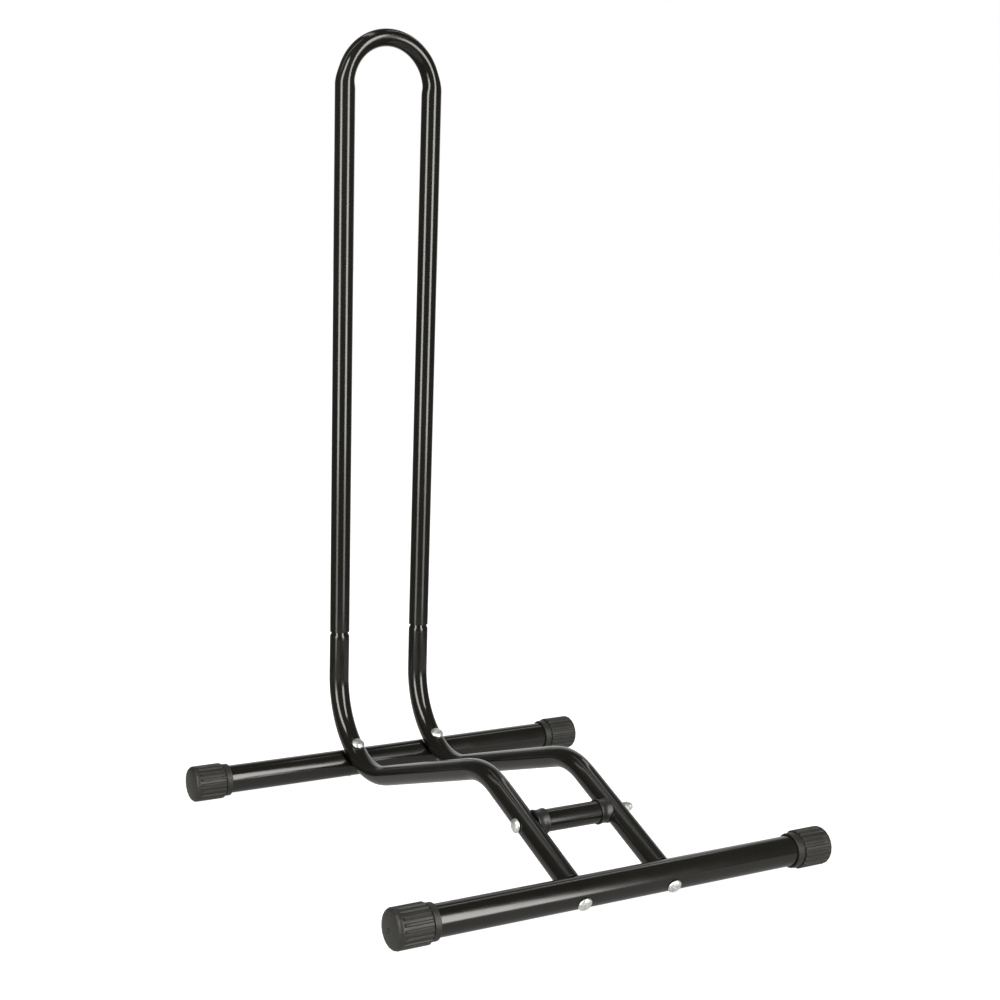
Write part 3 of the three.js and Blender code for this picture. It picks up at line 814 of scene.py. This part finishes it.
SPACER_REACH = RAIL_X + ROD_RADIUS + FIT_GAP
REAR_HEAD_AT = REAR_DISTANCE + ROD_RADIUS + FIT_GAP
front_bolt = shifted(carriage_bolt(HEAD_DISTANCE + INSERT_TO - 2), -HEAD_DISTANCE)
rear_shank = REAR_HEAD_AT + HEAD_DISTANCE + THIN_NUT_LENGTH
rear_bolt = shifted(carriage_bolt(rear_shank), -REAR_HEAD_AT)
rear_nut = shifted(thin_nut(), HEAD_DISTANCE)
for word, side in SIDES:
    x = side * RAIL_X
    piece(f"{word}_rail", *rail(side), PAINT)
    piece(f"spacer_saddle_{word}", *saddle(side), PLASTIC)
    piece(f"front_cap_{word}", *cap(side, FRONT_Y), RUBBER, sharp=55)
    piece(f"rear_cap_{word}", *cap(side, REAR_Y), RUBBER, sharp=55)
    piece(f"front_bolt_{word}", *aimed(front_bolt, x, FRONT_Y, ALONG_RUN), ZINC)
    piece(f"rail_end_insert_{word}", *aimed(rail_end_insert(), x, FRONT_Y, ALONG_RUN), ZINC)
    piece(f"rear_bolt_{word}", *aimed(rear_bolt, x, REAR_Y, -REAR_OUT), ZINC)
    piece(f"rear_nut_{word}", *aimed(rear_nut, x, REAR_Y, -REAR_OUT), ZINC, sharp=25)

points, faces = carriage_bolt(2 * SPACER_REACH + NUT_BORE - 1)
piece("spacer_bolt", points + [-SPACER_REACH, *SPACER_AT[1:]], faces, ZINC)
points, faces = acorn_nut()
piece("spacer_cap_nut", points + [SPACER_REACH, *SPACER_AT[1:]], faces, ZINC, sharp=25)

# ---- studio -------------------------------------------------------------------------------------
# Metres from here on.
FLOOR_SIZE = 60.0
FLOOR_BELOW = 2e-4  # how far the sheets lie under the caps
CARD_BELOW = 1e-4
CARD_RADIUS = 0.62
CARD_CORNERS = 64
FLOOR_GLOW = 0.95
CARD_GLOW = 0.42
NEUTRAL = (1.0, 1.0, 1.0)
WARM = (1.0, 0.985, 0.955)


def stage_sheet(name, points, tone, glow, below, tint):
    """A flat sheet under the caps. glow is the light it gives off, in the colour of the tint."""
    mesh = bpy.data.meshes.new(name)
    mesh.from_pydata([(x, y, -below) for x, y in points], [], [tuple(range(len(points)))])
    f = Finish(name, Metallic=0.0, Roughness=0.9, Specular_IOR_Level=0.1)
    f.shader.inputs["Emission Color"].default_value = (*tint, 1)
    f.shader.inputs["Emission Strength"].default_value = glow
    darker = tuple(c * 0.985 for c in tone)
    f.drive("Base Color", f.ramp(f.noise(3, 3), [(0.3, tone), (0.7, darker)]))
    mesh.materials.append(f.material)
    obj = bpy.data.objects.new(name, mesh)
    bpy.context.scene.collection.objects.link(obj)
    return obj


def floor():
    """The pale floor, and the nearer part of it that the gloss reflects."""
    h = FLOOR_SIZE / 2
    square = [(-h, -h), (h, -h), (h, h), (-h, h)]
    grey = (0.3, 0.3, 0.3)
    sweep = stage_sheet("studio_floor", square, grey, FLOOR_GLOW, FLOOR_BELOW, NEUTRAL)
    sweep.visible_glossy = False
    turns = [2 * math.pi * i / CARD_CORNERS for i in range(CARD_CORNERS)]
    disc = [(CARD_RADIUS * math.cos(a), CARD_RADIUS * math.sin(a)) for a in turns]
    dim = (0.1, 0.1, 0.097)
    card = stage_sheet("floor_in_gloss", disc, dim, CARD_GLOW, CARD_BELOW, WARM)
    card.visible_camera = card.visible_diffuse = card.visible_shadow = False


def softbox(name, place, out, width, height, radiance):
    """A lamp at a place, with its back to the way out."""
    lamp = bpy.data.lights.new(name, "AREA")
    lamp.shape = "RECTANGLE"
    lamp.size, lamp.size_y = width, height
    lamp.energy = radiance * width * height * math.pi
    lamp.color = WARM
    obj = bpy.data.objects.new(name, lamp)
    obj.location = place
    obj.rotation_euler = out.to_track_quat("Z", "Y").to_euler()
    obj.visible_camera = False
    bpy.context.scene.collection.objects.link(obj)


def upright(name, azimuth, distance, width, low, high, radiance):
    """An upright softbox. Azimuth is from -Y towards +X, in degrees; the rest is in metres."""
    a = math.radians(azimuth)
    out = Vector((math.sin(a), -math.cos(a), 0))
    middle = out * distance + Vector((0, 0, (low + high) / 2))
    softbox(name, middle, out, width, high - low, radiance)


# Upright softboxes: azimuth, distance and width; each has a dimmer foot.
UPRIGHTS = (("right", 18.2, 2.6, 1.0), ("left", -72, 2.4, 0.85))
UPRIGHT_TOP = 3.0
UPRIGHT_LOW = 0.02
FOOT_LOW = -0.5
UPRIGHT_RADIANCE = 11
FOOT_RADIANCE = 4
# Ceiling strips: ways out from the stand, and their width and radiance.
STRIPS = (
    ("ceiling_right", Vector((0.47, 0.31, 0.83)), 0.16, 3.0),
    ("ceiling_middle", Vector((0.0, 0.25, 0.97)), 0.2, 2.4),
    ("ceiling_left", Vector((-0.40, 0.29, 0.87)), 0.16, 3.0),
)
STRIP_DISTANCE = 2.4
STRIP_LENGTH = 1.5
BACKDROP = Vector((0.53, 0.85, 0))  # the way to the white wall behind the stand
ROOM_LIGHT = 0.55
ROOM_IN_GLOSS = 0.09
WALL_IN_GLOSS = 0.9
WALL_EDGES = (0.72, 0.95)  # how squarely a ray faces the wall where it starts and is full


def studio():
    world = bpy.data.worlds.new("studio")
    bpy.context.scene.world = world
    world.use_nodes = True
    tree = world.node_tree
    background = tree.nodes["Background"]
    background.inputs["Color"].default_value = (1, 1, 1, 1)

    def mapped(value, low, high, to_low, to_high, smooth=False):
        node = tree.nodes.new("ShaderNodeMapRange")
        node.interpolation_type = "SMOOTHSTEP" if smooth else "LINEAR"
        tree.links.new(value, node.inputs["Value"])
        for socket, number in (("From Min", low), ("From Max", high)):
            node.inputs[socket].default_value = number
        for socket, wanted in (("To Min", to_low), ("To Max", to_high)):
            if isinstance(wanted, float):
                node.inputs[socket].default_value = wanted
            else:
                tree.links.new(wanted, node.inputs[socket])
        return node.outputs["Result"]

    # Gloss sees a dim room with a white wall at the back; the camera sees pure white.
    way = tree.nodes.new("ShaderNodeTexCoord").outputs["Generated"]
    facing = tree.nodes.new("ShaderNodeVectorMath")
    facing.operation = "DOT_PRODUCT"
    facing.inputs[1].default_value = BACKDROP
    tree.links.new(way, facing.inputs[0])
    wall = mapped(facing.outputs["Value"], *WALL_EDGES, ROOM_IN_GLOSS, WALL_IN_GLOSS, True)
    rays = tree.nodes.new("ShaderNodeLightPath")
    level = mapped(rays.outputs["Is Glossy Ray"], 0, 1, ROOM_LIGHT, wall)
    level = mapped(rays.outputs["Is Camera Ray"], 0, 1, level, 1.0)
    tree.links.new(level, background.inputs["Strength"])
    for name, *place in UPRIGHTS:
        upright(name + "_softbox", *place, UPRIGHT_LOW, UPRIGHT_TOP, UPRIGHT_RADIANCE)
        upright(name + "_softbox_foot", *place, FOOT_LOW, UPRIGHT_LOW, FOOT_RADIANCE)
    for name, out, width, radiance in STRIPS:
        softbox(name, out * STRIP_DISTANCE, out, width, STRIP_LENGTH, radiance)


CAMERA_AT = (-0.95012, -1.54449, 0.62037)
CAMERA_YAW = math.radians(-31.77)
CAMERA_PITCH = math.radians(-10.85)
CAMERA_ROLL = math.radians(-1.75)
CAMERA_LENS = 63.07
CAMERA_SHIFT_Y = 0.08


def camera():
    ahead = Vector(
        (
            math.sin(-CAMERA_YAW) * math.cos(CAMERA_PITCH),
            math.cos(-CAMERA_YAW) * math.cos(CAMERA_PITCH),
            math.sin(CAMERA_PITCH),
        )
    )
    level = ahead.cross(Vector((0, 0, 1))).normalized()
    down = ahead.cross(level)
    c, s = math.cos(CAMERA_ROLL), math.sin(CAMERA_ROLL)
    right, below = c * level + s * down, c * down - s * level
    data = bpy.data.cameras.new("studio_camera")
    data.sensor_width = 36
    data.lens = CAMERA_LENS
    data.shift_y = CAMERA_SHIFT_Y
    data.clip_end = 100
    obj = bpy.data.objects.new("studio_camera", data)
    axes = Matrix((right, -below, -ahead)).transposed().to_4x4()
    obj.matrix_world = Matrix.Translation(CAMERA_AT) @ axes
    bpy.context.scene.collection.objects.link(obj)
    bpy.context.scene.camera = obj


floor()
studio()
camera()
bpy.context.scene.view_settings.view_transform = "Standard"
